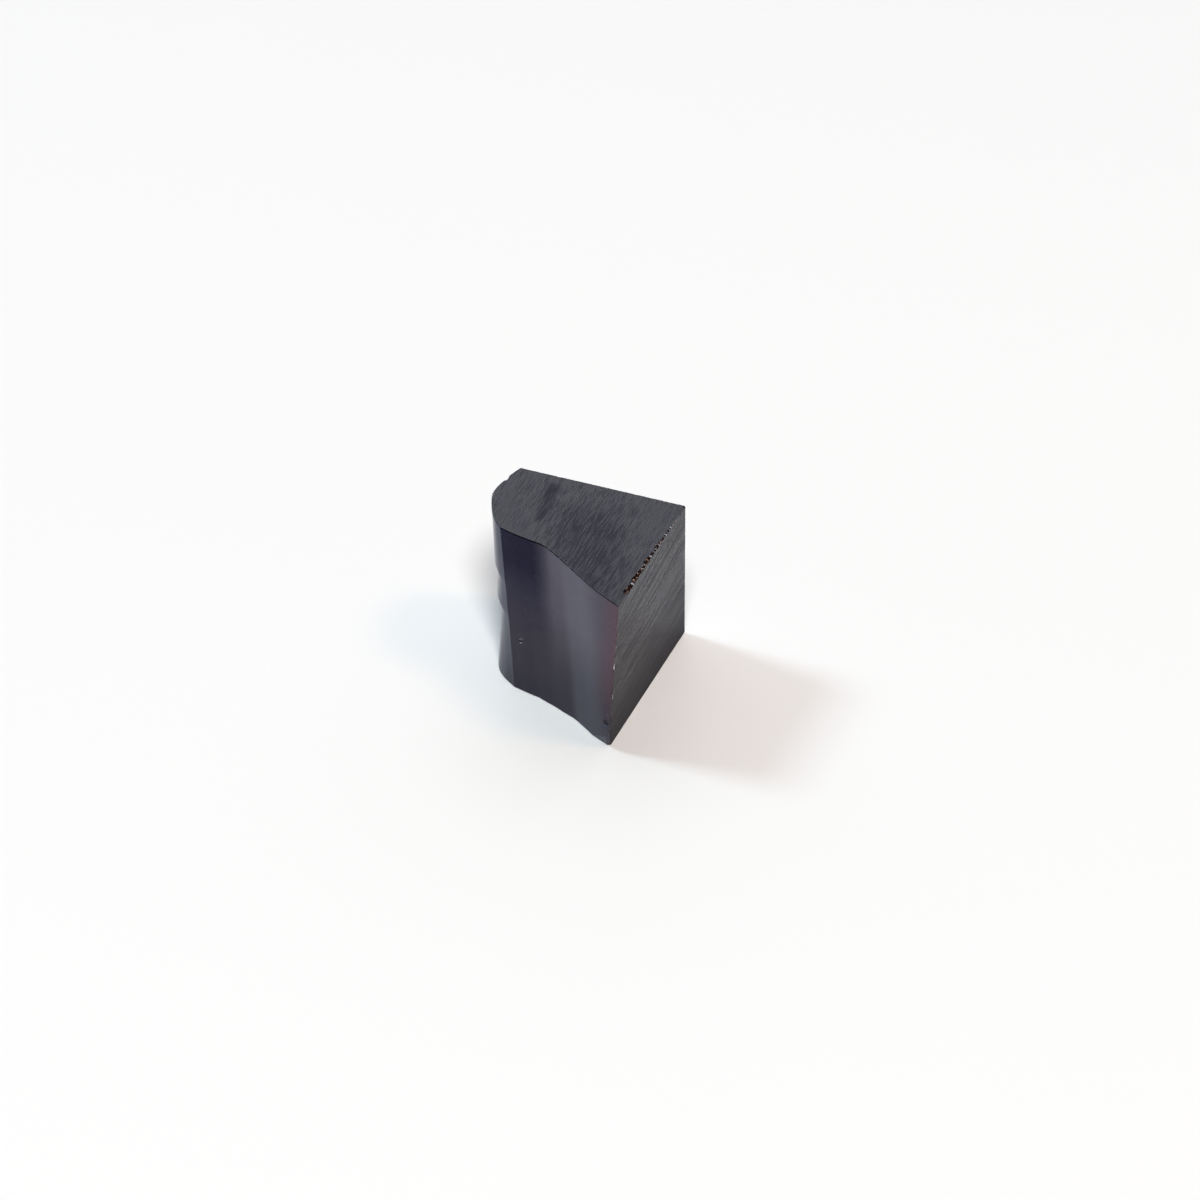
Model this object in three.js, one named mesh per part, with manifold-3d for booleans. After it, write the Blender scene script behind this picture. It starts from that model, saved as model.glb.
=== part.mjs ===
// Alexandrite rough, about 15 mm long: a corner of a pulled boule that keeps its grown skin on the
// front and on the left, and is sawn flat on the top, the base, the right and the back. It is one
// solid crystal, in millimetres, +Z up, standing on its sawn base with the origin under the middle
// of its box.

import * as THREE from 'three';
import { mergeVertices } from 'three/addons/utils/BufferGeometryUtils.js';
import Module from 'manifold-3d';

const wasm = await Module();
wasm.setup();
const { lerp } = THREE.MathUtils;

// Driving dimensions. The plan is drawn on the sawn top, from the square corner where the back cut
// meets the right cut: x runs to the right along the back cut, y runs back along the right cut.
const HEIGHT = 11.66; // from the sawn base to the sawn top
const LEAN = new THREE.Vector2(2.55, -3.46); // drift of the skin from the top down to the base
const LEVELS = 24; // rows of faces down the skin
const CURVE_STEPS = 5; // straight steps for each point of a curve
const CUT_REACH = 40; // size of the block that the saw cuts leave, past the skin on every side

// The front of the skin runs from past the right cut, over a flat wall and a hollow, to the ridge.
const FRONT_SKIN = [
  [2.2, -14.75],
  [0, -13.52],
  [-2.6, -12.1],
  [-4.9, -10.5],
  [-6.6, -9.32],
  [-8.0, -8.48],
  [-9.4, -8.18],
  [-10.7, -7.9],
  [-11.8, -7.55],
];

// The round side of the skin runs from the ridge to past the back cut.
const SIDE_SKIN = [
  [-12.6, -6.7],
  [-13.33, -5.45],
  [-13.93, -3.65],
  [-13.72, -1.8],
  [-13.2, 0],
  [-12.1, 2.2],
  [-10.0, 4.4],
];
const PAST_CUTS = [3, 5]; // closes the plan outside the saw cuts

// The hollow fills out towards the base.
const HOLLOW = { x: -7.9, reach: 2.0, fill: 0.3, out: new THREE.Vector2(-0.55, -0.83) };

// Scales of skin overlap down the round side. Each swells towards its lower edge, then steps back.
const SIDE = { x: -13.4, y: -5.1, reach: 3.6, out: new THREE.Vector2(-0.93, -0.37) };
const SCALES = [
  { from: 0, to: 8, swell: 0.15 },
  { from: 9, to: 13, swell: 0.2 },
  { from: 14, to: 24, swell: 0.62 },
];
const SWELL_POWER = 1.4;

// The saw broke small chips out of the edge between the top and the right cut, larger to the front.
const EDGE_CHIPS = {
  count: 30,
  from: -2.0,
  to: -11.9,
  smallest: 0.1,
  largest: 0.5,
  least: 0.35, // a chip has at least this share of the growth in size at its place
  shape: [0.9, 1, 0.7], // half size along x, y and z as shares of the chip's size
  inside: 0.25, // how far the middle lies inside the right cut, as a share of the size
  above: 0.15, // how far it stands above the top
};

// The sharp front edge, between the skin and the right cut, is nicked down its length.
const FRONT_NICKS = {
  count: 7,
  lowest: 1.0,
  highest: 10.6,
  smallest: 0.05,
  largest: 0.12,
  shape: [1, 1, 2.5],
  past: 0.3, // how far the middle stands past the right cut, as a share of the size
  before: 0.45, // how far it stands in front of the edge
  edge: { top: -13.52, base: -15.25 }, // y of the edge at the top and at the base
};

// Single breaks: [x, y, z] of the middle, the half size along each axis, and how finely it is rounded.
const BREAKS = [
  { at: [-0.47, -15.09, 2.15], half: [0.4, 0.24, 0.5], detail: 2 }, // shell-shaped flake low on the front edge
  { at: [-13.78, -1.6, HEIGHT + 0.05], half: [0.3, 0.42, 0.28], detail: 0 }, // chip in the top edge of the round side
  { at: [-13.78, -3.9, HEIGHT + 0.05], half: [0.14, 0.2, 0.2], detail: 0 }, // smaller chip beside it
  { at: [0.02, -0.1, HEIGHT + 0.1], half: [0.2, 0.24, 0.26], detail: 0 }, // worn square corner of the top
];

// The front tip at the base is worn to two small flats, each through a point and facing out.
const TIP_FLATS = [
  { at: [-0.1, -15.05, 0], out: [0.5, -0.84, -0.22] },
  { at: [-0.6, -14.94, 0], out: [-0.42, -0.88, -0.22] },
];
const FLAT_REACH = 4; // size of the block that a flat takes away
const GROWTH_PIT = { at: [-9.09, -10.38, 3.76], radius: 0.26, detail: 2 }; // small round pit in the ridge face

const GOLDEN_TURN = 2.39996; // spreads sizes and turns evenly without repeating
const CRYSTAL = new THREE.MeshStandardMaterial({ color: 0x2c2b33, roughness: 0.35, metalness: 0 });

/** A smooth bump: 1 at t = 0, falling to 0 at t = -1 and t = 1. */
function bump(t) {
  return Math.max(0, 1 - t * t) ** 2;
}

/** A closed mesh as a solid that can be cut. */
function solidOf(geometry) {
  geometry.deleteAttribute('normal');
  geometry.deleteAttribute('uv');
  const merged = mergeVertices(geometry);
  const vertProperties = new Float32Array(merged.attributes.position.array);
  const triVerts = new Uint32Array(merged.index.array);
  return new wasm.Manifold(new wasm.Mesh({ numProp: 3, vertProperties, triVerts }));
}

/** A solid back as a mesh geometry. */
function geometryOf(solid) {
  const { vertProperties, triVerts } = solid.getMesh();
  const geometry = new THREE.BufferGeometry();
  geometry.setAttribute('position', new THREE.BufferAttribute(vertProperties, 3));
  geometry.setIndex(new THREE.BufferAttribute(triVerts, 1));
  return geometry;
}

/** The outline of the boule at the height of the sawn top, reaching past the two side cuts. */
function skinOutline() {
  const points = (list) => list.map(([x, y]) => new THREE.Vector2(x, y));
  const [start, ...front] = points(FRONT_SKIN);
  const outline = new THREE.Shape();
  outline.moveTo(start.x, start.y);
  outline.splineThru(front);
  outline.splineThru(points(SIDE_SKIN));
  outline.lineTo(...PAST_CUTS);
  return outline;
}

/** How far the scales swell at a level counted down from the top. */
function scaleSwell(level) {
  const scale = SCALES.find(({ from, to }) => level >= from && level <= to);
  return scale.swell * ((level - scale.from) / (scale.to - scale.from)) ** SWELL_POWER;
}

/** The grown boule between the levels of the top and the base, leaning along its own axis. */
function grownBoule() {
  const options = { depth: HEIGHT, steps: LEVELS, curveSegments: CURVE_STEPS, bevelEnabled: false };
  const geometry = new THREE.ExtrudeGeometry(skinOutline(), options);
  const position = geometry.attributes.position;
  const plan = new THREE.Vector2();
  for (let i = 0; i < position.count; i += 1) {
    const [x, y, z] = [position.getX(i), position.getY(i), position.getZ(i)];
    const down = 1 - z / HEIGHT;
    const fromSide = Math.hypot(x - SIDE.x, y - SIDE.y) / SIDE.reach;
    const swell = scaleSwell(Math.round(down * LEVELS)) * bump(fromSide);
    const fill = HOLLOW.fill * down * bump((x - HOLLOW.x) / HOLLOW.reach);
    plan.set(x, y).addScaledVector(LEAN, down);
    plan.addScaledVector(SIDE.out, swell).addScaledVector(HOLLOW.out, y < 0 ? fill : 0);
    position.setXY(i, plan.x, plan.y);
  }
  return solidOf(geometry);
}

/** What the right cut and the back cut leave: everything left of the one and in front of the other. */
function insideCuts() {
  const geometry = new THREE.BoxGeometry(CUT_REACH, CUT_REACH, CUT_REACH);
  geometry.translate(-CUT_REACH / 2, -CUT_REACH / 2, 0);
  return solidOf(geometry);
}

/** A chip to take away, with its half size along each axis, turned in plan and about x. */
function chip(at, half, turn, detail) {
  const geometry = new THREE.IcosahedronGeometry(1, detail);
  geometry.rotateX(turn);
  geometry.rotateZ(turn / 2);
  geometry.scale(...half);
  geometry.translate(...at);
  return solidOf(geometry);
}

/** A flat to take away: everything past the point in the direction that the flat faces. */
function flat({ at, out }) {
  const facing = new THREE.Vector3(...out).normalize();
  const turn = new THREE.Quaternion().setFromUnitVectors(new THREE.Vector3(0, 0, 1), facing);
  const geometry = new THREE.BoxGeometry(FLAT_REACH, FLAT_REACH, FLAT_REACH);
  geometry.translate(0, 0, FLAT_REACH / 2);
  geometry.applyQuaternion(turn);
  geometry.translate(...at);
  return solidOf(geometry);
}

/** A share from 0 to 1 that differs from one number to the next. */
function spread(i) {
  const turns = (i * GOLDEN_TURN) / (2 * Math.PI);
  return turns - Math.floor(turns);
}

/** The chips along the edge between the top and the right cut. */
function edgeChips() {
  const { count, from, to, smallest, largest, least, shape, inside, above } = EDGE_CHIPS;
  return Array.from({ length: count }, (_, i) => {
    const along = (i + spread(i) / 2) / count;
    const size = lerp(smallest, largest, along * lerp(least, 1, spread(3 * i + 1)));
    const at = [-inside * size, lerp(from, to, along), HEIGHT + above * size];
    return chip(at, shape.map((share) => share * size), i * GOLDEN_TURN, 0);
  });
}

/** The nicks down the front edge, which follows the lean of the skin along the right cut. */
function frontNicks() {
  const { count, lowest, highest, smallest, largest, shape, past, before, edge } = FRONT_NICKS;
  return Array.from({ length: count }, (_, i) => {
    const z = lerp(lowest, highest, (i + spread(i + 2) / 2) / count);
    const size = lerp(smallest, largest, spread(2 * i + 5));
    const at = [past * size, lerp(edge.base, edge.top, z / HEIGHT) - before * size, z];
    return chip(at, shape.map((share) => share * size), i * GOLDEN_TURN, 0);
  });
}

/** The whole crystal, cut, chipped and set over the middle of its box. */
function crystal() {
  const breaks = BREAKS.map(({ at, half, detail }, i) => chip(at, half, i * GOLDEN_TURN, detail));
  const pit = chip(GROWTH_PIT.at, new Array(3).fill(GROWTH_PIT.radius), 0, GROWTH_PIT.detail);
  let solid = grownBoule().intersect(insideCuts());
  for (const taken of [...TIP_FLATS.map(flat), ...edgeChips(), ...frontNicks(), ...breaks, pit]) {
    solid = solid.subtract(taken);
  }
  const geometry = geometryOf(solid);
  geometry.computeBoundingBox();
  const middle = geometry.boundingBox.getCenter(new THREE.Vector3());
  geometry.translate(-middle.x, -middle.y, 0);
  geometry.computeVertexNormals();
  const mesh = new THREE.Mesh(geometry, CRYSTAL);
  mesh.name = 'alexandrite';
  return mesh;
}

const group = new THREE.Group();
group.add(crystal());

export default group;
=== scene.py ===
"""Looks of a sawn alexandrite crystal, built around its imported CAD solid.

The crystal is one piece. Its mesh starts as a copy of the CAD node, is cut into a fine net of faces and
gets the small relief that the solid leaves out: saw lines on the cuts, ripples on the grown skin, worn
edges and rough breaks. One see-through material covers all of it. Lengths are in metres.
"""

import logging
import math
from collections.abc import Iterable
from dataclasses import dataclass, field
from enum import Enum

import bmesh
import bpy
from bmesh.types import BMEdge, BMesh, BMFace, BMLayerItem, BMVert
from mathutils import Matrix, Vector, noise


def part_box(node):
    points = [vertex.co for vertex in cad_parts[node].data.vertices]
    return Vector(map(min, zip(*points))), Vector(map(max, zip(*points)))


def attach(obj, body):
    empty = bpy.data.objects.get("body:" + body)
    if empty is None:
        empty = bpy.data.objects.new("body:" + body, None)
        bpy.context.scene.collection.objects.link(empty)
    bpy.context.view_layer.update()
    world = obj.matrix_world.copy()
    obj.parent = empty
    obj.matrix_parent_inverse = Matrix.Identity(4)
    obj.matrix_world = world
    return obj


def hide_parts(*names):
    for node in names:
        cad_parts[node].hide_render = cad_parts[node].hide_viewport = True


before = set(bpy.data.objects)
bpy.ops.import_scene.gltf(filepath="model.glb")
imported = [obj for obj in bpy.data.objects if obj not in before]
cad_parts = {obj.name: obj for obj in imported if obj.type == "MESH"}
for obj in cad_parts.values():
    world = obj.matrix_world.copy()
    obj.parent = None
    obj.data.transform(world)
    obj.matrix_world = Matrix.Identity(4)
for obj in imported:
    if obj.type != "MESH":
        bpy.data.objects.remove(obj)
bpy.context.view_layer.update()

LOG = logging.getLogger("alexandrite")
MM = 0.001
NODE = "alexandrite"
Colour = tuple[float, float, float, float]


class Surface(Enum):
    """What a face of the crystal is, by the number that the mesh keeps for it."""

    GROWN = 0
    TOP = 1
    BASE = 2
    RIGHT = 3
    BACK = 4
    BROKEN = 5


@dataclass(frozen=True)
class SawCut:
    """A flat saw cut.

    Attributes:
        surface: The number of its faces on the mesh.
        out: The way that it faces.
        along: The way that its saw lines run.
        frosted: How much of the cut is ground to a pale frosting, from 0 to 1.
        stretch: How many times longer its saw lines run than those of the top.
    """

    surface: Surface
    out: Vector
    along: Vector
    frosted: float
    stretch: float

    @property
    def across(self) -> Vector:
        """The way across its saw lines, in the cut's own plane."""
        return self.out.cross(self.along).normalized()


def rising(level: Vector, degrees: float) -> Vector:
    """A level direction turned up towards +Z.

    Args:
        level: The level direction.
        degrees: How far it turns up.

    Returns:
        The turned direction, of length 1.
    """
    turn = math.radians(degrees)
    return level.normalized() * math.cos(turn) + Vector((0, 0, math.sin(turn)))


def ramp(value: float, start: float, end: float) -> float:
    """How far a value has come from a start to an end.

    Args:
        value: The value.
        start: Where it counts as 0.
        end: Where it counts as 1.

    Returns:
        From 0 to 1.
    """
    return max(0.0, min(1.0, (value - start) / (end - start)))


CUTS = (
    SawCut(Surface.TOP, Vector((0, 0, 1)), Vector((0, 1, 0)), 1.0, 1.0),
    SawCut(Surface.BASE, Vector((0, 0, -1)), Vector((0.1, 1, 0)).normalized(), 1.0, 1.0),
    SawCut(Surface.RIGHT, Vector((1, 0, 0)), rising(Vector((0, 1, 0)), 6), 0.0, 3.0),
    SawCut(Surface.BACK, Vector((0, 1, 0)), rising(Vector((1, 0, 0)), 4), 0.3, 2.0),
)


@dataclass(frozen=True)
class SawnFinish:
    """The matte surface that the saw leaves, with lines along its stroke.

    Attributes:
        rough: Mean roughness of a frosted cut.
        bare_rough: Mean roughness of a cut with no frosting.
        line: Width of a fine line.
        line_length: How long a fine line runs.
        line_depth: Depth of the fine lines.
        line_rough: How far the roughness changes from one fine line to the next.
        line_frost: How much of the frosting is from the fine lines.
        streak: Width of a broader streak.
        streak_length: How long a streak runs.
        streak_depth: Depth of the streaks.
        streak_rough: How far the roughness changes from one streak to the next.
        streak_frost: How much of the frosting is from the streaks.
        grain: Size of the ground grain between the lines.
        grain_depth: Depth of the grain.
        grain_rough: How far the roughness changes from grain to grain.
        grain_frost: How much of the frosting is from the grain.
        grit: Distance between the bits of bright grit.
        grit_share: Size of a bit of grit as a share of that distance.
        grit_depth: How far the grit stands up.
        frost_rough: Roughness of the pale frosting of ground crystal.
        frost_ior: Refractive index of the frosting, which sets how pale it is.
        frost_lost: What is taken off the sum of the frosting's shares.
        rubbed_rough: Roughness of the rubbed parts of the top.
        rubbed_relief: Share of the relief that the rubbed parts keep.
        rubbed_frost: Frosting that the rubbed parts have lost.
        wear_and_highlight_frost: Frosting of the worn edges between two cuts, and the pale layer of the
            painted highlight on the pit and the round side's chips.
    """

    rough: float = 0.52
    bare_rough: float = 0.23
    line: float = 0.14 * MM
    line_length: float = 1.6 * MM
    line_depth: float = 0.012 * MM
    line_rough: float = 0.16
    line_frost: float = 0.9
    streak: float = 0.45 * MM
    streak_length: float = 6 * MM
    streak_depth: float = 0.015 * MM
    streak_rough: float = 0.12
    streak_frost: float = 0.3
    grain: float = 0.08 * MM
    grain_depth: float = 0.012 * MM
    grain_rough: float = 0.1
    grain_frost: float = 1.0
    grit: float = 0.5 * MM
    grit_share: float = 0.13
    grit_depth: float = 0.03 * MM
    frost_rough: float = 0.6
    frost_ior: float = 2.0
    frost_lost: float = 0.18
    rubbed_rough: float = 0.55
    rubbed_relief: float = 0.3
    rubbed_frost: float = 1.12
    wear_and_highlight_frost: float = 0.8


@dataclass(frozen=True)
class GrownFinish:
    """The smooth skin that the crystal grew with.

    Attributes:
        rough: Mean roughness.
        rough_change: How far the roughness changes over the skin.
        haze: Size of the hazier areas.
        ring: Height of a growth line.
        ring_length: How far a growth line runs round the skin.
        ring_depth: Depth of the growth lines.
        speck: Distance between the specks.
        speck_share: Size of a speck as a share of that distance.
        speck_depth: How far a speck stands up.
        speck_rough: Roughness that a speck adds.
    """

    rough: float = 0.13
    rough_change: float = 0.08
    haze: float = 2.5 * MM
    ring: float = 0.16 * MM
    ring_length: float = 6 * MM
    ring_depth: float = 0.0002 * MM
    speck: float = 0.65 * MM
    speck_share: float = 0.1
    speck_depth: float = 0.012 * MM
    speck_rough: float = 0.5


@dataclass(frozen=True)
class BrokenFinish:
    """The glassy surface of a fresh break.

    Attributes:
        rough: Roughness.
        frost: Frosting outside the chips between the top and the right cut.
        ripple: Size of the ripples.
        ripple_depth: Depth of the ripples.
        glint: Size of the painted glints in the chips.
        glint_from: Where the glints start in their noise.
        glint_full: Where they are at their brightest.
    """

    rough: float = 0.32
    frost: float = 0.2
    ripple: float = 0.06 * MM
    ripple_depth: float = 0.025 * MM
    glint: float = 0.17 * MM
    glint_from: float = 0.52
    glint_full: float = 0.62


@dataclass(frozen=True)
class ClearBody:
    """What the inside of the crystal does to light.

    Attributes:
        tint: Colour that the surface lets through.
        ior: Refractive index of chrysoberyl.
        passes: Colour that survives the inside longest.
        density: How fast the inside takes light away, for each metre.
    """

    tint: Colour = (0.014, 0.009, 0.012, 1.0)
    ior: float = 1.746
    passes: Colour = (0.5, 0.08, 0.16, 1.0)
    density: float = 3600.0


@dataclass(frozen=True)
class Glance:
    """The colours that reflections take on.

    Attributes:
        grown: On the skin.
        ridge_shade: Painted dark blue shade on the reflections of the upper skin of the ridge.
        thin_glow: Painted red glow on the skin beside the thin front edge, as of the crystal's red in light
            shining through it.
        foot_shade: Painted shade: how much weaker the reflections of the skin are at the foot.
        bare: On a cut with no frosting.
        sawn: On a frosted cut.
        chipped: In the chips between the top and the right cut, where the red shows too.
        glint: Painted glints, the bright speckles over those chips.
        pitted: Painted highlight in the growth pit and in the chips of the round side.
    """

    grown: Colour = (1.92, 1.85, 2.34, 1.0)
    ridge_shade: Colour = (0.66, 0.66, 1.15, 1.0)
    thin_glow: Colour = (2.3, 1.6, 2.0, 1.0)
    foot_shade: float = 0.68
    bare: Colour = (0.92, 0.92, 1.12, 1.0)
    sawn: Colour = (1.32, 1.31, 1.55, 1.0)
    chipped: Colour = (0.55, 0.22, 0.18, 1.0)
    glint: Colour = (4.2, 3.3, 2.8, 1.0)
    pitted: Colour = (2.4, 2.4, 2.6, 1.0)


class NodeBench:
    """Adds nodes to a material's or a world's tree and joins them."""

    def __init__(self, tree: bpy.types.NodeTree) -> None:
        """Starts on an empty tree.

        Args:
            tree: The tree, which loses the nodes that it has.
        """
        tree.nodes.clear()
        self.tree = tree

    def add(self, kind: str, **settings: object) -> bpy.types.Node:
        """Adds a node.

        Args:
            kind: The node's type name.
            settings: Its properties by name.

        Returns:
            The node.
        """
        node = self.tree.nodes.new(kind)
        for name, value in settings.items():
            setattr(node, name, value)
        return node

    def feed(self, socket: bpy.types.NodeSocket, value: object) -> None:
        """Joins an output to a socket, or sets the socket to a constant.

        Args:
            socket: The input socket.
            value: An output socket, a number, a vector or a colour.
        """
        if isinstance(value, bpy.types.NodeSocket):
            self.tree.links.new(value, socket)
        else:
            socket.default_value = value

    def math(self, operation: str, a: object, b: object = 0.0, clamp: bool = False) -> bpy.types.NodeSocket:
        """Adds a sum of two values.

        Args:
            operation: The Math node's operation.
            a: The first value.
            b: The second value.
            clamp: Whether the result is kept between 0 and 1.

        Returns:
            The result.
        """
        node = self.add("ShaderNodeMath", operation=operation, use_clamp=clamp)
        self.feed(node.inputs[0], a)
        self.feed(node.inputs[1], b)
        return node.outputs[0]

    def mix(self, share: object, a: object, b: object) -> bpy.types.NodeSocket:
        """Adds a blend of two numbers.

        Args:
            share: 0 for the first and 1 for the second.
            a: The first number.
            b: The second number.

        Returns:
            The blend.
        """
        node = self.add("ShaderNodeMix", data_type="FLOAT")
        self.feed(node.inputs[0], share)
        self.feed(node.inputs[2], a)
        self.feed(node.inputs[3], b)
        return node.outputs[0]

    def blend(self, share: object, a: object, b: object) -> bpy.types.NodeSocket:
        """Adds a blend of two colours.

        Args:
            share: 0 for the first and 1 for the second.
            a: The first colour.
            b: The second colour.

        Returns:
            The blend.
        """
        node = self.add("ShaderNodeMix", data_type="RGBA")
        self.feed(node.inputs[0], share)
        self.feed(node.inputs[6], a)
        self.feed(node.inputs[7], b)
        return node.outputs[2]

    def dimmed(self, colour: object, share: object) -> bpy.types.NodeSocket:
        """Adds a colour with its brightness changed.

        Args:
            colour: The colour.
            share: What its brightness is multiplied by.

        Returns:
            The changed colour.
        """
        node = self.add("ShaderNodeVectorMath", operation="SCALE")
        self.feed(node.inputs[0], colour)
        self.feed(node.inputs["Scale"], share)
        return node.outputs[0]

    def scaled(self, vector: object, scale: Iterable[float]) -> bpy.types.NodeSocket:
        """Adds a vector stretched on each axis.

        Args:
            vector: The vector.
            scale: The three factors.

        Returns:
            The stretched vector.
        """
        node = self.add("ShaderNodeVectorMath", operation="MULTIPLY")
        self.feed(node.inputs[0], vector)
        node.inputs[1].default_value = tuple(scale)
        return node.outputs[0]

    def noise(self, vector: object, detail: float = 2.0, soft: float = 0.5) -> bpy.types.NodeSocket:
        """Adds a noise of size 1 in the vector's own units.

        Args:
            vector: Where it is read.
            detail: How many finer layers it has.
            soft: How strong each finer layer is.

        Returns:
            The noise, from 0 to 1.
        """
        node = self.add("ShaderNodeTexNoise", noise_dimensions="3D")
        self.feed(node.inputs["Vector"], vector)
        node.inputs["Scale"].default_value = 1.0
        node.inputs["Detail"].default_value = detail
        node.inputs["Roughness"].default_value = soft
        return node.outputs["Fac"]

    def crisp(self, value: object, low: float = 0.4, high: float = 0.6) -> bpy.types.NodeSocket:
        """Adds a noise with its middle stretched over the whole range.

        Args:
            value: The noise.
            low: What becomes 0.
            high: What becomes 1.

        Returns:
            The stretched noise.
        """
        node = self.add("ShaderNodeMapRange", interpolation_type="SMOOTHSTEP")
        self.feed(node.inputs["Value"], value)
        node.inputs["From Min"].default_value = low
        node.inputs["From Max"].default_value = high
        return node.outputs["Result"]

    def specks(self, vector: object, share: float, dimensions: str = "3D") -> bpy.types.NodeSocket:
        """Adds scattered specks, one for each unit of the vector.

        Args:
            vector: Where they are read.
            share: Radius of a speck.
            dimensions: "2D" for specks in a plane, or "3D".

        Returns:
            1 in the middle of a speck, falling to 0 at its rim.
        """
        cells = self.add("ShaderNodeTexVoronoi", feature="F1", voronoi_dimensions=dimensions)
        self.feed(cells.inputs["Vector"], vector)
        cells.inputs["Scale"].default_value = 1.0
        near = self.math("DIVIDE", cells.outputs["Distance"], share)
        return self.math("SUBTRACT", 1.0, near, clamp=True)

    def marks(self, vector: object, width: float, length: float) -> bpy.types.NodeSocket:
        """Adds crisp marks that run longer one way than the other.

        Args:
            vector: Where they are read.
            width: Their size along the vector's first axis.
            length: Their size along its second axis.

        Returns:
            The marks, from 0 to 1.
        """
        return self.crisp(self.noise(self.scaled(vector, (1 / width, 1 / length, 1))))

    def mesh_value(self, name: str, output: str = "Fac") -> bpy.types.NodeSocket:
        """Adds a reader of one of the mesh's own attributes.

        Args:
            name: The attribute.
            output: "Fac" for a number, or "Vector".

        Returns:
            What it reads.
        """
        node = self.add("ShaderNodeAttribute", attribute_type="GEOMETRY", attribute_name=name)
        return node.outputs[output]


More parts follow.
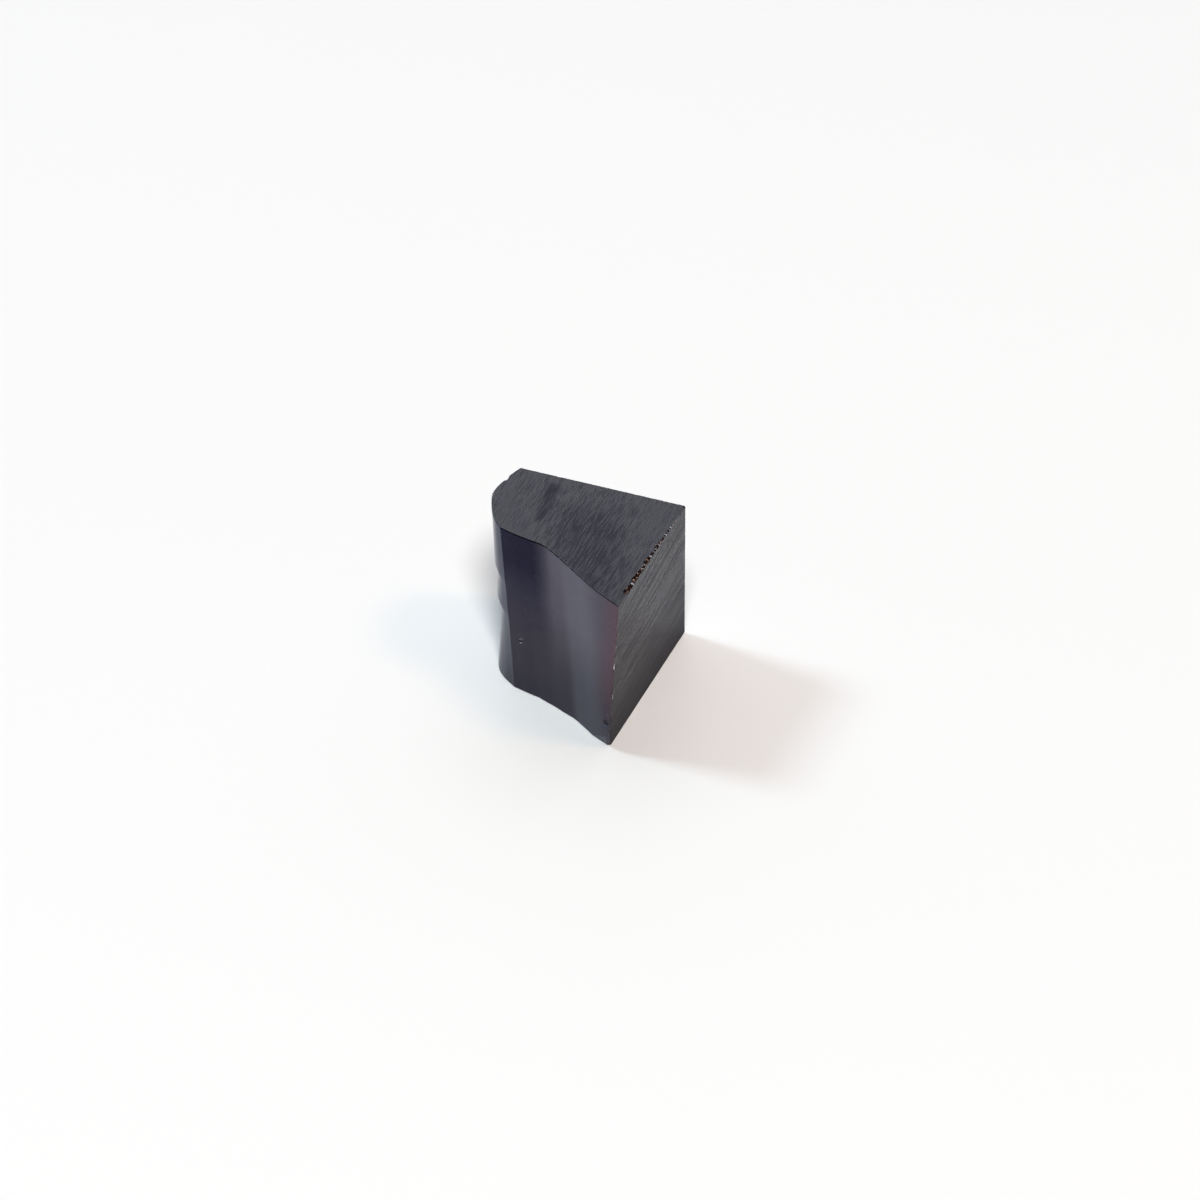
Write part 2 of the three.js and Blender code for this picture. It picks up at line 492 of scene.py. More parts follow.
@dataclass(frozen=True)
class CrystalMaterial:
    """The one see-through material of the crystal, with a finish for each kind of surface.

    Attributes:
        sawn: Finish of the cuts.
        grown: Finish of the skin.
        broken: Finish of the chips and nicks.
        body: The inside.
        glance: The colours of the reflections.
    """

    sawn: SawnFinish = SawnFinish()
    grown: GrownFinish = GrownFinish()
    broken: BrokenFinish = BrokenFinish()
    body: ClearBody = ClearBody()
    glance: Glance = Glance()

    def build(self) -> bpy.types.Material:
        """Makes the material.

        Returns:
            The material, which reads the attributes that Crystal writes.
        """
        material = bpy.data.materials.new("alexandrite_crystal")
        material.use_nodes = True
        bench = NodeBench(material.node_tree)
        sawn = bench.mesh_value("sawn")
        saw_height, saw_rough, frost = self._saw_marks(bench)
        skin_height, skin_rough, dust = self._skin_marks(bench)
        rough = bench.mix(sawn, skin_rough, saw_rough)
        rough = bench.mix(bench.mesh_value("broken"), rough, self.broken.rough)
        relief = bench.add("ShaderNodeBump")
        relief.inputs["Strength"].default_value = 1.0
        relief.inputs["Distance"].default_value = 1.0
        bench.feed(relief.inputs["Height"], bench.mix(sawn, skin_height, saw_height))
        shader = bench.add("ShaderNodeBsdfPrincipled")
        shader.inputs["Base Color"].default_value = self.body.tint
        shader.inputs["IOR"].default_value = self.body.ior
        shader.inputs["Transmission Weight"].default_value = 1.0
        bench.feed(shader.inputs["Roughness"], rough)
        bench.feed(shader.inputs["Normal"], relief.outputs["Normal"])
        bench.feed(shader.inputs["Specular Tint"], self._reflection_colour(bench))
        bench.feed(shader.inputs["Coat Weight"], self._paleness(bench, frost, dust))
        shader.inputs["Coat Roughness"].default_value = self.sawn.frost_rough
        shader.inputs["Coat IOR"].default_value = self.sawn.frost_ior
        bench.feed(shader.inputs["Coat Normal"], relief.outputs["Normal"])
        inside = bench.add("ShaderNodeVolumeAbsorption")
        inside.inputs["Color"].default_value = self.body.passes
        inside.inputs["Density"].default_value = self.body.density
        output = bench.add("ShaderNodeOutputMaterial")
        bench.feed(output.inputs["Surface"], shader.outputs["BSDF"])
        bench.feed(output.inputs["Volume"], inside.outputs["Volume"])
        return material

    def _reflection_colour(self, bench: NodeBench) -> bpy.types.NodeSocket:
        """Adds the colour of the reflections of each kind of surface.

        Args:
            bench: Where the nodes go.

        Returns:
            The colour.
        """
        glance = self.glance
        # Painted shade on the skin's reflections: dark blue on the upper ridge and weaker at the foot; a
        # painted red glow beside the thin front edge.
        skin = bench.blend(bench.mesh_value("ridge_shade"), glance.grown, glance.ridge_shade)
        skin = bench.blend(bench.mesh_value("thin_glow"), skin, glance.thin_glow)
        skin = bench.dimmed(skin, bench.mix(bench.mesh_value("foot_shade"), 1.0, glance.foot_shade))
        cut = bench.blend(bench.mesh_value("frosted"), glance.bare, glance.sawn)
        colour = bench.blend(bench.mesh_value("sawn"), skin, cut)
        # Painted glints speckled over the chips, and a painted highlight in the pit and the round side's
        # chips.
        colour = bench.blend(bench.mesh_value("chipped"), colour, self._chip_colour(bench))
        return bench.blend(bench.mesh_value("pitted"), colour, glance.pitted)

    def _paleness(
        self, bench: NodeBench, frost: bpy.types.NodeSocket, dust: bpy.types.NodeSocket
    ) -> bpy.types.NodeSocket:
        """Adds up what makes the surface pale.

        Args:
            bench: Where the nodes go.
            frost: How frosted the cuts are.
            dust: How dusty the skin is.

        Returns:
            The share of the pale layer, from 0 to 1.
        """
        # The pale layer of the worn edges, and of the painted highlight on the pit and the round side's
        # chips.
        wear_and_highlight = bench.math("MULTIPLY", bench.mesh_value("wear_and_highlight"), self.sawn.wear_and_highlight_frost)
        flaked = bench.math("SUBTRACT", bench.mesh_value("broken"), bench.mesh_value("chipped"), clamp=True)
        uncut = bench.mix(flaked, dust, self.broken.frost)
        return bench.math("ADD", bench.mix(bench.mesh_value("sawn"), uncut, frost), wear_and_highlight, clamp=True)

    def _chip_colour(self, bench: NodeBench) -> bpy.types.NodeSocket:
        """Adds the colour of the chips: their dark red, with painted glints speckled over it.

        Args:
            bench: Where the nodes go.

        Returns:
            The colour of their reflections.
        """
        place = bench.add("ShaderNodeTexCoord").outputs["Object"]
        speckle = bench.noise(bench.scaled(place, [1 / self.broken.glint] * 3))
        glint = bench.crisp(speckle, self.broken.glint_from, self.broken.glint_full)
        return bench.blend(glint, self.glance.chipped, self.glance.glint)

    def _saw_marks(self, bench: NodeBench) -> tuple[bpy.types.NodeSocket, ...]:
        """Adds the marks of the saw.

        Args:
            bench: Where the nodes go.

        Returns:
            Their height in metres, the roughness, and how frosted the cuts are.
        """
        sawn = self.sawn
        place = bench.mesh_value("saw_lines", "Vector")
        line = bench.marks(place, sawn.line, sawn.line_length)
        streak = bench.marks(place, sawn.streak, sawn.streak_length)
        grain = bench.marks(place, sawn.grain, sawn.grain)
        grit = bench.specks(bench.scaled(place, (1 / sawn.grit, 1 / sawn.grit, 1)), sawn.grit_share, "2D")
        height = bench.math("MULTIPLY", grit, sawn.grit_depth)
        frosted = bench.mesh_value("frosted")
        rough = bench.mix(frosted, sawn.bare_rough, sawn.rough)
        frost = grit
        for marks, depth, change, share in (
            (line, sawn.line_depth, sawn.line_rough, sawn.line_frost),
            (streak, sawn.streak_depth, sawn.streak_rough, sawn.streak_frost),
            (grain, sawn.grain_depth, sawn.grain_rough, sawn.grain_frost),
        ):
            height = bench.math("ADD", height, bench.math("MULTIPLY", marks, depth))
            off_mean = bench.math("SUBTRACT", marks, 0.5)
            rough = bench.math("ADD", rough, bench.math("MULTIPLY", off_mean, change))
            frost = bench.math("ADD", frost, bench.math("MULTIPLY", marks, share))
        rubbed = bench.mesh_value("rubbed")
        height = bench.math("MULTIPLY", height, bench.mix(rubbed, 1.0, sawn.rubbed_relief))
        rough = bench.mix(rubbed, rough, sawn.rubbed_rough)
        lost = bench.math("ADD", bench.math("MULTIPLY", rubbed, sawn.rubbed_frost), sawn.frost_lost)
        frost = bench.math("MULTIPLY", bench.math("SUBTRACT", frost, lost, clamp=True), frosted)
        return height, rough, frost

    def _skin_marks(self, bench: NodeBench) -> tuple[bpy.types.NodeSocket, ...]:
        """Adds the growth lines, haze and specks of the skin.

        Args:
            bench: Where the nodes go.

        Returns:
            Their height in metres, the roughness, and how dusty the skin is.
        """
        grown = self.grown
        place = bench.add("ShaderNodeTexCoord").outputs["Object"]
        long = 1 / grown.ring_length
        ring = bench.noise(bench.scaled(place, (long, long, 1 / grown.ring)))
        haze = bench.noise(bench.scaled(place, [1 / grown.haze] * 3), 3)
        speck = bench.specks(bench.scaled(place, [1 / grown.speck] * 3), grown.speck_share)
        height = bench.math("MULTIPLY", ring, grown.ring_depth)
        height = bench.math("ADD", height, bench.math("MULTIPLY", speck, grown.speck_depth))
        change = bench.math("MULTIPLY", bench.math("SUBTRACT", haze, 0.5), grown.rough_change)
        rough = bench.math("ADD", change, grown.rough)
        rough = bench.math("ADD", rough, bench.math("MULTIPLY", speck, grown.speck_rough), clamp=True)
        return height, rough, speck


@dataclass(frozen=True)
class RubbedPatch:
    """A part of the top that was rubbed smoother, along a line.

    Attributes:
        start: The line's end at the back.
        end: The line's end at the front.
        wide: Half the patch's width at the back.
        narrow: Half its width at the front.
        soft: How gently it fades out, from 0 to 1.
        ragged: Size of the raggedness of its rim.
        most: How rubbed its middle is.
        ragged_share: How far the raggedness moves its rim, as a share of its width.
    """

    start: Vector
    end: Vector
    wide: float
    narrow: float
    soft: float
    ragged: float
    most: float
    ragged_share: float = 0.35

    def share(self, co: Vector) -> float:
        """How rubbed a point of the top is.

        Args:
            co: The point.

        Returns:
            From 0 outside to the most in its middle.
        """
        run = self.end - self.start
        along = ramp((co.xy - self.start).dot(run), 0, run.length_squared)
        half = self.wide + (self.narrow - self.wide) * along
        ragged = self.ragged_share * noise.noise(co / self.ragged)
        away = (co.xy - self.start - run * along).length / half + ragged
        fade = ramp(away, 1 + self.soft, 1 - self.soft)
        return self.most * fade * fade * (3 - 2 * fade)


RUBBED = (
    RubbedPatch(
        start=Vector((-3.0, 6.3)) * MM,
        end=Vector((-2.45, 2.2)) * MM,
        wide=0.55 * MM,
        narrow=0.42 * MM,
        soft=0.7,
        ragged=0.7 * MM,
        most=0.9,
    ),
    RubbedPatch(
        start=Vector((1.4, 2.6)) * MM,
        end=Vector((3.6, -4.2)) * MM,
        wide=2.6 * MM,
        narrow=3.0 * MM,
        soft=0.8,
        ragged=2.0 * MM,
        most=0.72,
    ),
)


@dataclass
class Crystal:
    """The crystal's fine mesh, shaped from a copy of its CAD solid.

    Attributes:
        merge: Vertices closer than this are one.
        sliver: A finished face thinner than this is closed.
        flat: A face this near to a plane of the box, and this level with it, is a saw cut.
        lean: The way that the grown skin runs, from the top down.
        column: Width of the faces on a cut, across its saw lines.
        row: Length of the faces on a cut, along its saw lines.
        skin_cuts: How many times each edge of the skin is cut.
        skin_rounds: How many times the skin is smoothed.
        break_cuts: How many times each edge of a break is cut.
        band: Width of the bands that the saw leaves in the mesh itself.
        band_length: How long a band runs.
        band_depth: Depth of the bands.
        ripple: Size of the ripples in the skin.
        ripple_depth: Depth of the ripples.
        edge_step: Distance between the vertices along a sharp edge.
        rim: Width of the faces beside a sharp edge.
        wear: How far a sharp edge is worn back.
        nick: Length of the small nicks along the edges.
        nick_depth: Their depth.
        nick_share: Share of the noise along an edge that makes no nick.
        sharp: Edges bent more than this, in degrees, are sharp.
        thin_glow: How far from the right cut the painted red glow by the thin edge reaches, and how far it
            takes to rise above thin_foot.
        thin_foot: Height under which the skin has no painted red glow.
        ridge_shade: Where the painted dark blue shade on the ridge's reflections starts, along X on the top
            and upwards.
        ridge_shade_fade: How far it takes to reach its full strength, along X and upwards.
        foot_shade: Heights between which the skin's reflections grow from the foot's painted shade to their
            full strength.
        rubbed_foot: Height up to which the right cut is rubbed.
        chip_reach: How far the chips reach down from the top.
        break_reach: How far the breaks reach in from the right cut, and down from the top.
        break_turn: How far a break is turned from the growth, as a sine.
        break_out: How far a break is turned to the right, as a sine.
        pit_turn: How far the pit is turned from the growth, as a sine.
        pit_left: How far left of the middle the pit can lie.
        near: A vertex this near to the top or to the right cut is on it.
        lines_apart: How far apart the patterns of two cuts lie.
        kind: The layer with what each face is.
        wear_and_highlight: The layer with how worn each vertex is, and where the pit and the round side's
            chips get their painted highlight.
    """

    merge: float = 0.0005 * MM
    sliver: float = 0.0002 * MM
    flat: float = 0.002 * MM
    lean: Vector = Vector((2.55, -3.46, -11.66))
    column: float = 0.1 * MM
    row: float = 0.35 * MM
    skin_cuts: int = 2
    skin_rounds: int = 2
    break_cuts: int = 2
    band: float = 0.55 * MM
    band_length: float = 14 * MM
    band_depth: float = 0.012 * MM
    ripple: float = 1.6 * MM
    ripple_depth: float = 0.002 * MM
    edge_step: float = 0.09 * MM
    rim: float = 0.1 * MM
    wear: float = 0.006 * MM
    nick: float = 0.3 * MM
    nick_depth: float = 0.045 * MM
    nick_share: float = 0.25
    sharp: float = 32.0
    thin_glow: float = 2.0 * MM
    thin_foot: float = 1.6 * MM
    ridge_shade: Vector = Vector((-0.5, 3.5)) * MM
    ridge_shade_fade: Vector = Vector((1.6, 6.0)) * MM
    foot_shade: Vector = Vector((3.2, 7.5)) * MM
    rubbed_foot: float = 6.5 * MM
    chip_reach: float = 0.5 * MM
    break_reach: Vector = Vector((1.2, 0.4)) * MM
    break_turn: float = 0.12
    break_out: float = 0.2
    pit_turn: float = 0.3
    pit_left: float = 4 * MM
    near: float = 0.1 * MM
    lines_apart: float = 7.0
    kind: BMLayerItem = field(init=False)
    wear_and_highlight: BMLayerItem = field(init=False)

    def build(self, material: bpy.types.Material) -> bpy.types.Object:
        """Makes the crystal, hangs it on the root body and hides the CAD node.

        Args:
            material: What covers it.

        Returns:
            The crystal's object.
        """
        bm = bmesh.new()
        bm.from_mesh(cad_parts[NODE].data)
        bmesh.ops.remove_doubles(bm, verts=bm.verts, dist=self.merge)
        self.kind = bm.faces.layers.int.new("surface")
        self.wear_and_highlight = bm.verts.layers.float.new("wear_and_highlight")
        self._name_faces(bm)
        self._refine_skin(bm)
        self._roughen_breaks(bm)
        self._slice_cuts(bm)
        self._wear_edges(bm)
        self._saw_bands(bm)
        self._keep_in_box(bm)
        self._mark_faces(bm)
        self._mark_verts(bm)
        many_sided = [face for face in bm.faces if len(face.verts) > 4]
        bmesh.ops.triangulate(bm, faces=many_sided)
        self._drop_flaps(bm)
        mesh = bpy.data.meshes.new("alexandrite_crystal")
        bm.to_mesh(mesh)
        bm.free()
        mesh.shade_smooth()
        mesh.set_sharp_from_angle(angle=math.radians(self.sharp))
        mesh.materials.append(material)
        piece = bpy.data.objects.new("alexandrite_crystal", mesh)
        bpy.context.scene.collection.objects.link(piece)
        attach(piece, "root")
        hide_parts(NODE)
        return piece

    def _faces(self, bm: BMesh, *surfaces: Surface) -> list[BMFace]:
        """The faces of some kinds of surface."""
        numbers = {surface.value for surface in surfaces}
        return [face for face in bm.faces if face[self.kind] in numbers]

    def _name_faces(self, bm: BMesh) -> None:
        """Marks each face of the solid as sawn, grown or broken, and joins each cut into one face.

        Args:
            bm: The mesh.
        """
        low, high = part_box(NODE)
        planes = {cut.surface: max(cut.out.dot(low), cut.out.dot(high)) for cut in CUTS}
        for face in bm.faces:
            cut = next((c for c in CUTS if self._lies_in(face, c, planes[c.surface])), None)
            if cut:
                face[self.kind] = cut.surface.value
            elif self._is_break(face, high):
                face[self.kind] = Surface.BROKEN.value
        for cut in CUTS:
            faces = self._faces(bm, cut.surface)
            number = cut.surface.value
            inner = [e for e in edges_of(faces) if all(f[self.kind] == number for f in e.link_faces)]
            bmesh.ops.dissolve_limit(bm, angle_limit=math.radians(1), edges=inner, verts=[])

    def _lies_in(self, face: BMFace, cut: SawCut, plane: float) -> bool:
        """Whether a face lies in the plane of a cut."""
        return all(abs(cut.out.dot(v.co) - plane) < self.flat for v in face.verts)

    def _is_break(self, face: BMFace, high: Vector) -> bool:
        """Whether a face that isn't sawn is a fresh break, and not skin that runs with the growth.

        Args:
            face: The face.
            high: The highest corner of the box.

        Returns:
            True for a break.
        """
        centre = face.calc_center_median()
        turn = abs(face.normal.dot(self.lean.normalized()))
        in_reach = centre.x > high.x - self.break_reach.x or centre.z > high.z - self.break_reach.y
        turned = turn > self.break_turn or face.normal.x > self.break_out
        pitted = turn > self.pit_turn and -self.pit_left < centre.x < 0
        return (turned and in_reach) or pitted

    def _refine_skin(self, bm: BMesh) -> None:
        """Cuts the skin into small faces, rounds its facets off and ripples it.

        Args:
            bm: The mesh.
        """
        bmesh.ops.join_triangles(
            bm, faces=self._faces(bm, Surface.GROWN), angle_face_threshold=0.3, angle_shape_threshold=1.2
        )
        edges = edges_of(self._faces(bm, Surface.GROWN))
        bmesh.ops.subdivide_edges(bm, edges=edges, cuts=self.skin_cuts, use_grid_fill=True)
        grown = Surface.GROWN.value
        inner = [v for v in bm.verts if all(f[self.kind] == grown for f in v.link_faces)]
        for _ in range(self.skin_rounds):
            bmesh.ops.smooth_vert(
                bm, verts=inner, factor=0.5, use_axis_x=True, use_axis_y=True, use_axis_z=True
            )
        bm.normal_update()
        for vert in inner:
            vert.co += vert.normal * self.ripple_depth * noise.fractal(vert.co / self.ripple, 1.0, 2.0, 3)

    def _roughen_breaks(self, bm: BMesh) -> None:
        """Cuts the broken faces into small ones and gives them the ripples of a fresh break.

        Args:
            bm: The mesh.
        """
        finish = BrokenFinish()
        edges = edges_of(self._faces(bm, Surface.BROKEN))
        bmesh.ops.subdivide_edges(bm, edges=edges, cuts=self.break_cuts, use_grid_fill=True)
        bm.normal_update()
        broken = Surface.BROKEN.value
        for vert in bm.verts:
            if all(face[self.kind] == broken for face in vert.link_faces):
                depth = 0.5 + 0.5 * noise.noise(vert.co / finish.ripple)
                vert.co -= vert.normal * finish.ripple_depth * depth

    def _slice_cuts(self, bm: BMesh) -> None:
        """Slices each cut into columns across its saw lines, and those into rows.

        Args:
            bm: The mesh.
        """
        low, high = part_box(NODE)
        for height in (low.z + self.rim, high.z - self.rim):
            faces = self._faces(bm, Surface.GROWN)
            near = [face for face in faces if any(abs(v.co.z - height) < self.row for v in face.verts)]
            slice_at(bm, near, Vector((0, 0, 1)), height)
        for cut in CUTS:
            bmesh.ops.inset_region(
                bm, faces=self._faces(bm, cut.surface), thickness=self.rim, use_boundary=True
            )
            slice_faces(bm, self._faces(bm, cut.surface), cut.across, self.column)
            slice_faces(bm, self._faces(bm, cut.surface), cut.along, self.row)

    def _wear_edges(self, bm: BMesh) -> None:
        """Wears the sharp edges of the cuts back and nicks them.

        Args:
            bm: The mesh.
        """
        bm.normal_update()
        bend = math.radians(self.sharp)
        wear_and_highlight = [edge for edge in bm.edges if edge.calc_face_angle(0.0) > bend and self._beside_cut(edge)]
        long = [edge for edge in wear_and_highlight if edge.calc_length() > self.edge_step]
        new = bmesh.ops.bisect_edges(bm, edges=long, cuts=1)["geom_split"]
        verts = unique([*(v for e in wear_and_highlight for v in e.verts), *(x for x in new if isinstance(x, BMVert))])
        bm.normal_update()
        for vert in verts:
            place = vert.co / self.nick
            vert[self.wear_and_highlight] = 1.0 if self._beside_cuts(vert) else 0.0
            nick = max(0.0, noise.noise(place) - self.nick_share) * self.nick_depth
            vert.co -= vert.normal * (self.wear * (1.2 + noise.noise(place * 3)) + nick)

    def _beside_cut(self, edge: BMEdge) -> bool:
        """Whether an edge has a saw cut on one side."""
        plain = {Surface.GROWN.value, Surface.BROKEN.value}
        return any(face[self.kind] not in plain for face in edge.link_faces)

    def _beside_cuts(self, vert: BMVert) -> bool:
        """Whether a vertex lies between two saw cuts."""
        plain = {Surface.GROWN.value, Surface.BROKEN.value}
        return len({face[self.kind] for face in vert.link_faces} - plain) > 1

    def _saw_bands(self, bm: BMesh) -> None:
        """Presses the saw's bands into the cuts, always inwards.

        Args:
            bm: The mesh.
        """
        for cut in CUTS:
            for vert in unique(v for face in self._faces(bm, cut.surface) for v in face.verts):
                across, along = vert.co.dot(cut.across), vert.co.dot(cut.along)
                place = Vector((across / self.band, along / self.band_length, cut.surface.value))
                depth = 0.5 + 0.5 * noise.fractal(place, 1.0, 2.0, 2)
                vert.co -= cut.out * self.band_depth * max(0.0, depth)

    def _drop_flaps(self, bm: BMesh) -> None:
        """Closes slivers with no area, and takes away faces that lie back to back or stand out alone.

        Args:
            bm: The mesh.
        """
        bmesh.ops.dissolve_degenerate(bm, dist=self.sliver, edges=bm.edges)
        by_verts: dict[frozenset[BMVert], list[BMFace]] = {}
        for face in bm.faces:
            by_verts.setdefault(frozenset(face.verts), []).append(face)
        flaps = [face for faces in by_verts.values() if len(faces) > 1 for face in faces]
        bmesh.ops.delete(bm, geom=flaps, context="FACES")
        fins = [face for face in bm.faces if any(edge.is_boundary for edge in face.edges)]
        bmesh.ops.delete(bm, geom=fins, context="FACES")

    @staticmethod
    def _keep_in_box(bm: BMesh) -> None:
        """Moves what stands out of the CAD solid's box back to it.

        Args:
            bm: The mesh.
        """
        low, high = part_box(NODE)
        for vert in bm.verts:
            vert.co = Vector(max(a, min(b, c)) for a, b, c in zip(low, high, vert.co))

    def _mark_faces(self, bm: BMesh) -> None:
        """Writes for the material what each face is, and where the saw lines run.

        Args:
            bm: The mesh.
        """
        sawn, frosted, broken, chipped, pitted = (
            bm.faces.layers.float.new(name) for name in ("sawn", "frosted", "broken", "chipped", "pitted")
        )
        lines = bm.loops.layers.float_vector.new("saw_lines")
        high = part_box(NODE)[1]
        cuts = {cut.surface.value: cut for cut in CUTS}
        for face in bm.faces:
            cut = cuts.get(face[self.kind])
            centre = face.calc_center_median()
            at_edge = centre.z > high.z - self.chip_reach and centre.x > 0
            face[sawn] = 1.0 if cut else 0.0
            face[frosted] = cut.frosted if cut else 0.0
            face[broken] = 1.0 if face[self.kind] == Surface.BROKEN.value else 0.0
            face[chipped] = face[broken] if at_edge else 0.0
            # Painted highlight: the pit and the round side's chips get a bright reflection colour and the
            # pale layer.
            face[pitted] = face[broken] if centre.x < 0 else 0.0
            for vert in face.verts if face[pitted] else ():
                vert[self.wear_and_highlight] = 1.0
            for loop in face.loops if cut else ():
                across, along = loop.vert.co.dot(cut.across), loop.vert.co.dot(cut.along)
                loop[lines] = (across, along / cut.stretch, self.lines_apart * cut.surface.value)

    def _mark_verts(self, bm: BMesh) -> None:
        """Writes for the material how rubbed the cuts are, where the thin edge gets its painted red glow, and
        where the skin's reflections get painted shade: dark blue on the upper ridge and weaker at the foot.

        Args:
            bm: The mesh.
        """
        rubbed, thin_glow, ridge_shade, foot_shade = (
            bm.verts.layers.float.new(name) for name in ("rubbed", "thin_glow", "ridge_shade", "foot_shade")
        )
        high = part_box(NODE)[1]
        for vert in bm.verts:
            x, _, z = vert.co
            on_top = x - self.lean.x * (z - high.z) / self.lean.z
            # Painted shade on the skin's reflections, dark blue on the upper ridge and weaker at the foot,
            # and a painted red glow by the thin front edge.
            left = ramp(on_top, self.ridge_shade.x, self.ridge_shade.x - self.ridge_shade_fade.x)
            vert[foot_shade] = ramp(z, self.foot_shade.y, self.foot_shade.x)
            clear = ramp(z, self.thin_foot, self.thin_foot + self.thin_glow)
            vert[thin_glow] = clear * ramp(x, high.x - self.thin_glow, high.x)
            vert[ridge_shade] = left * ramp(z, self.ridge_shade.y, self.ridge_shade.y + self.ridge_shade_fade.y)
            if z > high.z - self.near:
                vert[rubbed] = max(patch.share(vert.co) for patch in RUBBED)
            elif x > high.x - self.near:
                vert[rubbed] = ramp(z, self.rubbed_foot, 0)


def unique(items: Iterable) -> list:
    """The items once each, in the order in which they come."""
    return list(dict.fromkeys(items))


def edges_of(faces: Iterable[BMFace]) -> list[BMEdge]:
    """The edges of some faces, once each."""
    return unique(edge for face in faces for edge in face.edges)


def slice_faces(bm: BMesh, faces: list[BMFace], across: Vector, step: float) -> None:
    """Slices faces by evenly spaced planes.

    Args:
        bm: The mesh.
        faces: The faces to slice.
        across: The way from one plane to the next.
        step: The largest distance between two planes.
    """
    reach = [across.dot(v.co) for face in faces for v in face.verts]
    low, high = min(reach), max(reach)
    count = math.ceil((high - low) / step)
    rest = faces
    for k in range(1, count):
        rest = slice_at(bm, rest, across, low + (high - low) * k / count)


def slice_at(bm: BMesh, faces: list[BMFace], across: Vector, plane: float) -> list[BMFace]:
    """Slices faces by one plane.

    Args:
        bm: The mesh.
        faces: The faces to slice.
        across: The way that the plane faces.
        plane: How far it lies from the origin that way.

    Returns:
        The faces past the plane.
    """
    verts = unique(v for face in faces for v in face.verts)
    cut = bmesh.ops.bisect_plane(
        bm, geom=[*verts, *edges_of(faces), *faces], dist=1e-8, plane_co=across * plane, plane_no=across
    )
    found = (item for item in cut["geom"] if isinstance(item, BMFace))
    return [face for face in found if face.calc_center_median().dot(across) > plane]


@dataclass(frozen=True)
class SoftLight:
    """A round soft light.

    Attributes:
        name: Its name.
        towards: The way from the crystal to the light.
        across: Its diameter.
        power: Its power in watts.
        colour: Its colour.
        distance: How far away it is.
    """

    name: str
    towards: Vector
    across: float
    power: float
    colour: tuple[float, float, float]
    distance: float = 3000 * MM

    def build(self) -> bpy.types.Object:
        """Makes the light.

        Returns:
            The light's object.
        """
        data = bpy.data.lights.new(self.name, "AREA")
        data.shape = "DISK"
        data.size = self.across
        data.energy = self.power
        data.color = self.colour
        light = bpy.data.objects.new(self.name, data)
        light.location = self.towards.normalized() * self.distance
        light.rotation_euler = (-light.location).to_track_quat("-Z", "Y").to_euler()
        bpy.context.scene.collection.objects.link(light)
        return light


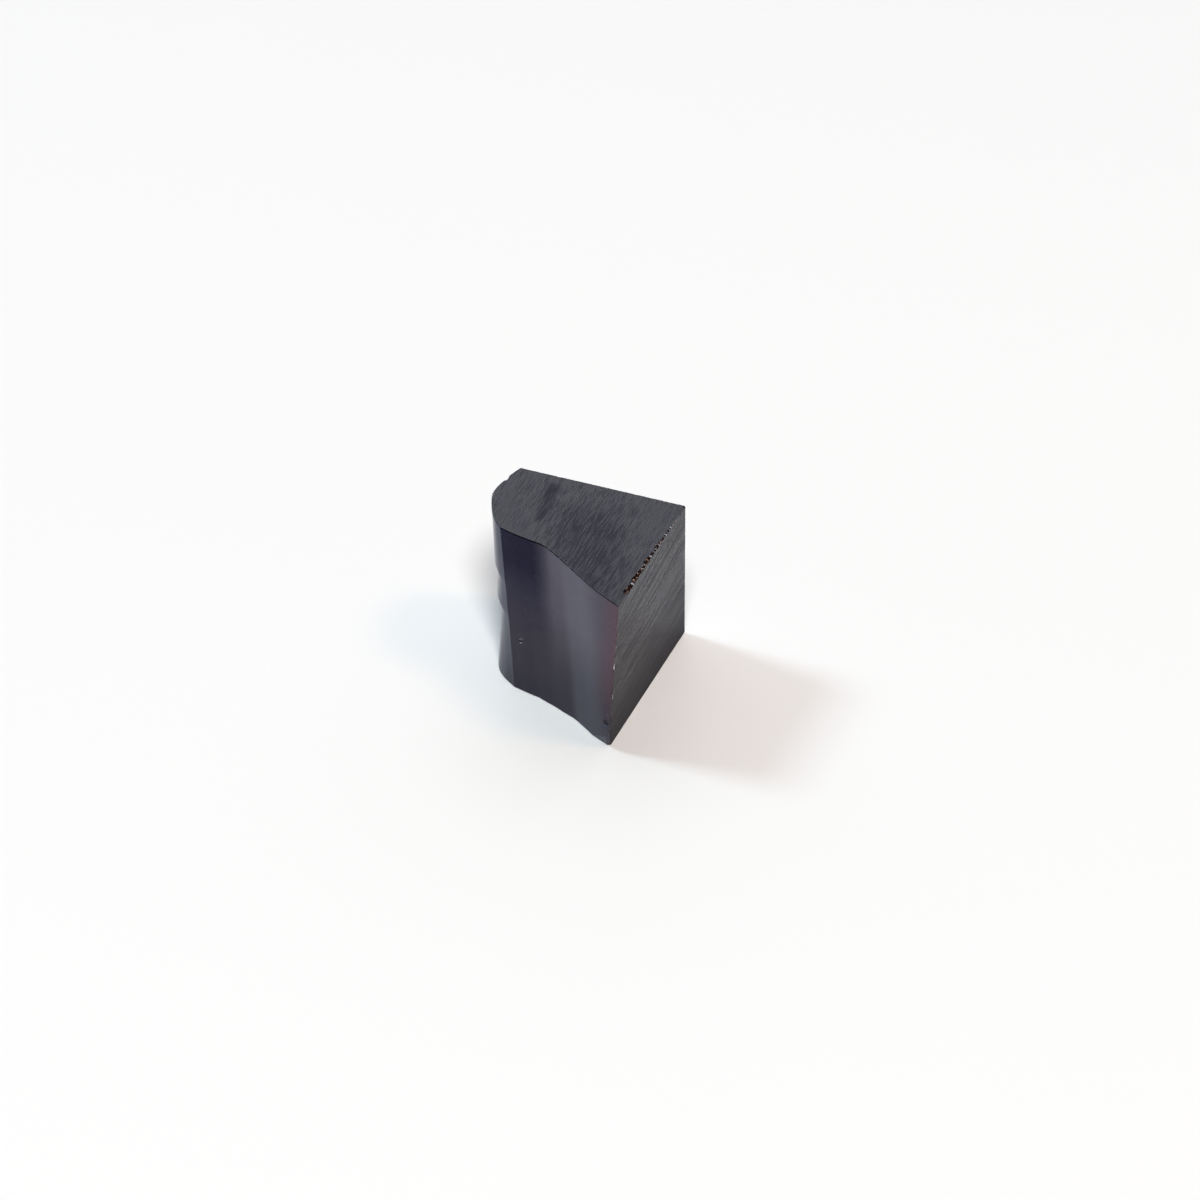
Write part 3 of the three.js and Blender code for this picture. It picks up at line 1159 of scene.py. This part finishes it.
@dataclass(frozen=True)
class Studio:
    """A pale floor, two soft lights behind the crystal, one before it, and a room that is bright at the back.

    Attributes:
        floor_reach: Half the width of the floor.
        floor_gap: How far the floor lies under the base.
        floor_colour: Colour of the floor.
        floor_rough: Roughness of the floor's soft sheen.
        floor_gloss: Strength of that sheen.
        room_front: Light of the room on the camera's side.
        room_back: Light of the room behind the crystal.
        back: The way from the camera's side to the back.
        brightens: How far round to the back the room starts to brighten and is brightest, as cosines.
        contrast: Gamma of the view, below 1 for the deep darks of the photograph.
        lights: The soft lights.
    """

    floor_reach: float = 400 * MM
    floor_gap: float = 0.03 * MM
    floor_colour: Colour = (0.86, 0.86, 0.86, 1.0)
    floor_rough: float = 0.45
    floor_gloss: float = 0.7
    room_front: Colour = (0.04, 0.037, 0.037, 1.0)
    room_back: Colour = (0.72, 0.73, 0.78, 1.0)
    back: Vector = Vector((-0.25, 0.75, 0.6))
    brightens: Vector = Vector((0.4, 0.95))
    contrast: float = 0.76
    lights: tuple[SoftLight, ...] = (
        SoftLight("cool_back_left_light", Vector((-13.8, 1.6, 11.7)), 675 * MM, 30.0, (0.7, 0.91, 1.0)),
        SoftLight("warm_back_right_light", Vector((8.0, 3.0, 11.7)), 750 * MM, 12.0, (1.0, 0.6, 0.35)),
        SoftLight("front_fill_light", Vector((2.5, -5.0, 8.3)), 975 * MM, 71.0, (1.0, 0.989, 0.965)),
    )

    def build(self) -> None:
        """Makes the floor, the room and the lights."""
        self._lay_floor()
        self._light_room()
        for light in self.lights:
            light.build()
        view = bpy.context.scene.view_settings
        view.view_transform = "Standard"
        view.look = "None"
        view.gamma = self.contrast

    def _lay_floor(self) -> None:
        bm = bmesh.new()
        bmesh.ops.create_grid(bm, x_segments=1, y_segments=1, size=self.floor_reach)
        bmesh.ops.translate(bm, verts=bm.verts, vec=(0, 0, -self.floor_gap))
        mesh = bpy.data.meshes.new("pale_floor")
        bm.to_mesh(mesh)
        bm.free()
        material = bpy.data.materials.new("pale_floor")
        material.use_nodes = True
        bench = NodeBench(material.node_tree)
        shader = bench.add("ShaderNodeBsdfPrincipled")
        shader.inputs["Base Color"].default_value = self.floor_colour
        shader.inputs["Roughness"].default_value = self.floor_rough
        shader.inputs["Specular IOR Level"].default_value = self.floor_gloss
        output = bench.add("ShaderNodeOutputMaterial")
        bench.feed(output.inputs["Surface"], shader.outputs["BSDF"])
        mesh.materials.append(material)
        floor = bpy.data.objects.new("pale_floor", mesh)
        bpy.context.scene.collection.objects.link(floor)

    def _light_room(self) -> None:
        """Makes the world, bright at the back and darker on the camera's side."""
        world = bpy.data.worlds.new("studio_room")
        world.use_nodes = True
        bench = NodeBench(world.node_tree)
        way = bench.add("ShaderNodeTexCoord").outputs["Generated"]
        facing = bench.add("ShaderNodeVectorMath", operation="DOT_PRODUCT")
        bench.feed(facing.inputs[0], way)
        facing.inputs[1].default_value = self.back.normalized()
        share = bench.add("ShaderNodeMapRange", interpolation_type="SMOOTHSTEP")
        bench.feed(share.inputs["Value"], facing.outputs["Value"])
        share.inputs["From Min"].default_value = self.brightens.x
        share.inputs["From Max"].default_value = self.brightens.y
        shine = bench.add("ShaderNodeBackground")
        colour = bench.blend(share.outputs["Result"], self.room_front, self.room_back)
        bench.feed(shine.inputs["Color"], colour)
        output = bench.add("ShaderNodeOutputWorld")
        bench.feed(output.inputs["Surface"], shine.outputs["Background"])
        bpy.context.scene.world = world


@dataclass(frozen=True)
class PhotoCamera:
    """The camera, at the photograph's angle.

    Attributes:
        azimuth: Degrees to the right of looking along +Y.
        elevation: Degrees above the floor.
        distance: From the camera to what it looks at.
        lens: Focal length in millimetres.
        aim: The point in the middle of the picture.
        sees: The nearest and the farthest that it sees, in metres.
    """

    azimuth: float = 21.643
    elevation: float = 36.4
    distance: float = 675 * MM
    lens: float = 270.0
    aim: Vector = Vector((0.542, 6.659, 1.932)) * MM
    sees: tuple[float, float] = (0.01, 10.0)

    def build(self) -> bpy.types.Object:
        """Makes the camera and gives it to the scene.

        Returns:
            The camera's object.
        """
        turn, rise = math.radians(self.azimuth), math.radians(self.elevation)
        back = Vector((math.sin(turn) * math.cos(rise), -math.cos(turn) * math.cos(rise), math.sin(rise)))
        data = bpy.data.cameras.new("photo_camera")
        data.lens = self.lens
        data.clip_start, data.clip_end = self.sees
        camera = bpy.data.objects.new("photo_camera", data)
        camera.location = self.aim + back * self.distance
        camera.rotation_euler = (-back).to_track_quat("-Z", "Y").to_euler()
        bpy.context.scene.collection.objects.link(camera)
        bpy.context.scene.camera = camera
        return camera


def main() -> None:
    """Builds the crystal, the studio and the camera."""
    logging.basicConfig(level=logging.INFO, format="%(name)s: %(message)s")
    crystal = Crystal().build(CrystalMaterial().build())
    LOG.info("%s has %d faces", crystal.name, len(crystal.data.polygons))
    Studio().build()
    LOG.info("studio is lit")
    camera = PhotoCamera().build()
    LOG.info("%s is in place", camera.name)


if __name__ == "__main__":
    main()
